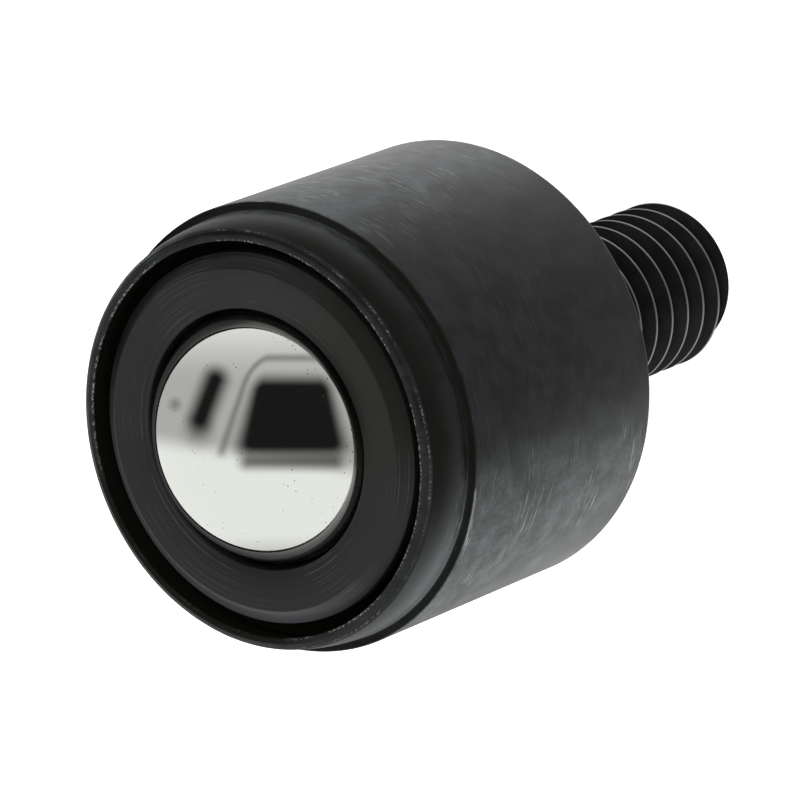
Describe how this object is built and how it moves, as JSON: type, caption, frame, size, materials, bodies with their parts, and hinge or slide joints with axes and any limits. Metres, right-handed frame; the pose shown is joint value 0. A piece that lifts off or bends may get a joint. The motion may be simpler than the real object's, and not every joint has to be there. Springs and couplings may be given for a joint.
{
  "type": "ball castor",
  "caption": "Ball castor with a threaded stud: a turned steel housing whose rolled-in lip holds a bevelled cap ring round a polished load ball on bearing balls.",
  "frame": {"origin": "centre of the flat face of the housing that seats on the furniture, where the stud leaves it", "axes": "+Z along the turning axis, out through the load ball; the stud points to -Z"},
  "size_m": [0.0159, 0.016, 0.0276],
  "materials": {
    "black_oxide_steel": "turned, black oxide, oiled",
    "blued_cap_steel": "fine turned, dark blued",
    "hardened_steel": "ground and hardened",
    "oiled_felt": "dense wool felt, oiled",
    "polished_ball_steel": "polished",
    "bearing_ball_steel": "polished"
  },
  "bodies": {
    "housing": {"housing": "black_oxide_steel", "ball_cup": "hardened_steel", "cap_ring": "blued_cap_steel", "felt_seal": "oiled_felt"},
    "bearing_balls": {"bearing_ball_01": "bearing_ball_steel", "bearing_ball_02": "bearing_ball_steel", "bearing_ball_03": "bearing_ball_steel", "bearing_ball_04": "bearing_ball_steel", "bearing_ball_05": "bearing_ball_steel", "bearing_ball_06": "bearing_ball_steel", "bearing_ball_07": "bearing_ball_steel", "bearing_ball_08": "bearing_ball_steel", "bearing_ball_09": "bearing_ball_steel", "bearing_ball_10": "bearing_ball_steel", "bearing_ball_11": "bearing_ball_steel", "bearing_ball_12": "bearing_ball_steel", "bearing_ball_13": "bearing_ball_steel", "bearing_ball_14": "bearing_ball_steel", "bearing_ball_15": "bearing_ball_steel", "bearing_ball_16": "bearing_ball_steel", "bearing_ball_17": "bearing_ball_steel", "bearing_ball_18": "bearing_ball_steel", "bearing_ball_19": "bearing_ball_steel", "bearing_ball_20": "bearing_ball_steel", "bearing_ball_21": "bearing_ball_steel", "bearing_ball_22": "bearing_ball_steel", "bearing_ball_23": "bearing_ball_steel", "bearing_ball_24": "bearing_ball_steel", "bearing_ball_25": "bearing_ball_steel", "bearing_ball_26": "bearing_ball_steel", "bearing_ball_27": "bearing_ball_steel", "bearing_ball_28": "bearing_ball_steel", "bearing_ball_29": "bearing_ball_steel", "bearing_ball_30": "bearing_ball_steel", "bearing_ball_31": "bearing_ball_steel", "bearing_ball_32": "bearing_ball_steel", "bearing_ball_33": "bearing_ball_steel"},
    "load_ball": {"load_ball": "polished_ball_steel"}
  },
  "joints": [
    {"name": "bearing_ball_orbit", "type": "hinge", "parent": "housing", "child": "bearing_balls", "pos_m": [0, 0, 0.01037], "axis": [0, 0, 1], "continuous": true},
    {"name": "load_ball_roll", "type": "hinge", "parent": "bearing_balls", "child": "load_ball", "pos_m": [0, 0, 0.01037], "axis": [1, 0, 0], "continuous": true}
  ]
}
